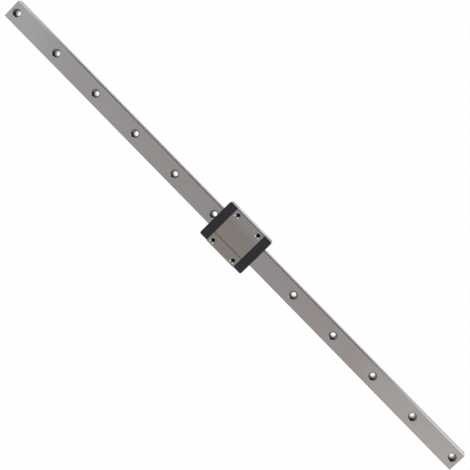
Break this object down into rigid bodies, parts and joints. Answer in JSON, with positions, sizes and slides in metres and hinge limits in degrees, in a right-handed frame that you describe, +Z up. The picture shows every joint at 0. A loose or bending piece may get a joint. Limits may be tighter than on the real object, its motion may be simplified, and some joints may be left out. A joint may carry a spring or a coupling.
{
  "type": "linear guide rail",
  "caption": "Straight ground steel guide rail with counterbored bolt holes along its top, carrying a short ball carriage with black end caps that slides along it.",
  "frame": {"origin": "middle of the rail's underside, which is also the middle of the bottom of the whole part's box", "axes": "+X along the rail, +Y across it towards the carriage's scribed line, +Z up from the rail's underside to the carriage's top"},
  "size_m": [0.45, 0.032, 0.016],
  "materials": {
    "rail_steel": "ground",
    "carriage_steel": "ground",
    "cap_plastic": "fine moulded texture",
    "seal_rubber": "matt",
    "screw_steel": "plain",
    "ball_steel": "polished"
  },
  "bodies": {
    "rail": {"rail": "rail_steel"},
    "carriage": {"carriage_body": "carriage_steel", "end_cap_left": "cap_plastic", "end_cap_right": "cap_plastic", "end_seal_left": "seal_rubber", "end_seal_right": "seal_rubber", "cap_screw_left_front": "screw_steel", "cap_screw_left_back": "screw_steel", "cap_screw_right_front": "screw_steel", "cap_screw_right_back": "screw_steel", "ball_row_front": "ball_steel", "ball_row_back": "ball_steel"}
  },
  "joints": [
    {"name": "carriage_slide", "type": "slide", "parent": "rail", "child": "carriage", "axis": [1, 0, 0], "range_m": [-0.2018, 0.2068]}
  ]
}
